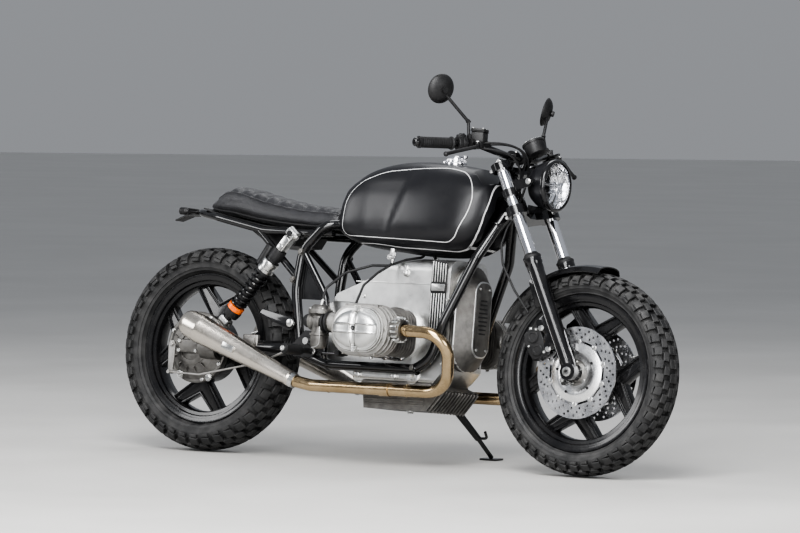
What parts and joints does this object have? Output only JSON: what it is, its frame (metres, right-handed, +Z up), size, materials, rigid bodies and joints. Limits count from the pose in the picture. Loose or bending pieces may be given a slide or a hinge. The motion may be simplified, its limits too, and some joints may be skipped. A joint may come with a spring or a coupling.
{
  "type": "scrambler motorcycle",
  "caption": "Black scrambler motorcycle with an air-cooled flat-twin engine, knobbly tyres, low flat seat, round headlamp and twin mufflers, on its side stand.",
  "frame": {"origin": "on the floor, under the centre of the bounding box", "axes": "+X forward, +Y to the rider's left, +Z up; the machine leans 6.5 degrees to its left on its side stand"},
  "size_m": [2.0959, 0.842, 1.2379],
  "materials": {
    "frame_black": "gloss black",
    "tank_black": "satin black",
    "engine_silver": "bead-blasted aluminium",
    "cast_grey": "dull cast aluminium",
    "wheel_black": "gloss black",
    "tyre": "dusty black rubber",
    "chrome": "polished",
    "black_trim": "matt black",
    "rubber": "matt black",
    "brushed_steel": "brushed stainless steel",
    "bronzed_steel": "heat-tinted stainless steel",
    "disc_steel": "ground steel",
    "leather": "grained black",
    "glass": "clear",
    "reflector": "polished dish",
    "lamp_red": "red lens"
  },
  "bodies": {
    "chassis": {"main_frame": "frame_black", "rear_subframe": "frame_black", "engine_case": "engine_silver", "top_cover": "engine_silver", "front_cover": "engine_silver", "oil_sump": "cast_grey", "gearbox": "engine_silver", "barrels": "cast_grey", "cylinder_heads": "cast_grey", "rocker_covers": "engine_silver", "carburettors": "cast_grey", "exhaust_headers": "bronzed_steel", "mufflers": "brushed_steel", "fuel_tank": "tank_black", "filler_cap": "chrome", "seat": "leather", "seat_pan": "black_trim", "side_panels": "frame_black", "battery_box": "black_trim", "tail_bracket": "frame_black", "tail_lamp": "lamp_red", "swingarm": "frame_black", "final_drive": "cast_grey", "shock_absorber": "black_trim", "shock_spring": "frame_black", "footrests": "black_trim", "foot_levers": "frame_black", "ignition_coils": "black_trim", "fuel_hoses": "rubber", "plug_leads": "rubber"},
    "steering": {"upper_yoke": "frame_black", "lower_yoke": "frame_black", "fork_tubes": "chrome", "fork_sliders": "frame_black", "front_axle": "chrome", "front_mudguard": "frame_black", "headlight_shell": "frame_black", "headlight_reflector": "reflector", "headlight_lens": "glass", "headlight_bracket": "frame_black", "handlebar": "frame_black", "grips": "rubber", "bar_controls": "black_trim", "mirrors": "black_trim", "speedometer": "black_trim", "brake_callipers": "frame_black", "brake_hoses": "rubber"},
    "front_wheel": {"front_wheel": "wheel_black", "front_tyre": "tyre", "brake_discs": "disc_steel"},
    "rear_wheel": {"rear_wheel": "wheel_black", "rear_tyre": "tyre"},
    "side_stand": {"side_stand": "frame_black"}
  },
  "joints": [
    {"name": "steer", "type": "hinge", "parent": "chassis", "child": "steering", "pos_m": [0.41553, 0.00206, 0.84959], "axis": [-0.4462, 0.1013, 0.8892], "range_deg": [-32, 32]},
    {"name": "front_spin", "type": "hinge", "parent": "steering", "child": "front_wheel", "pos_m": [0.732, -0.05863, 0.31691], "axis": [0, 0.9936, -0.1132], "continuous": true},
    {"name": "rear_spin", "type": "hinge", "parent": "chassis", "child": "rear_wheel", "pos_m": [-0.718, -0.05705, 0.33082], "axis": [0, 0.9936, -0.1132], "continuous": true},
    {"name": "stand_fold", "type": "hinge", "parent": "chassis", "child": "side_stand", "pos_m": [0.14, 0.05501, 0.2013], "axis": [-0.0653, 0.7305, 0.6797], "range_deg": [0, 86]}
  ]
}
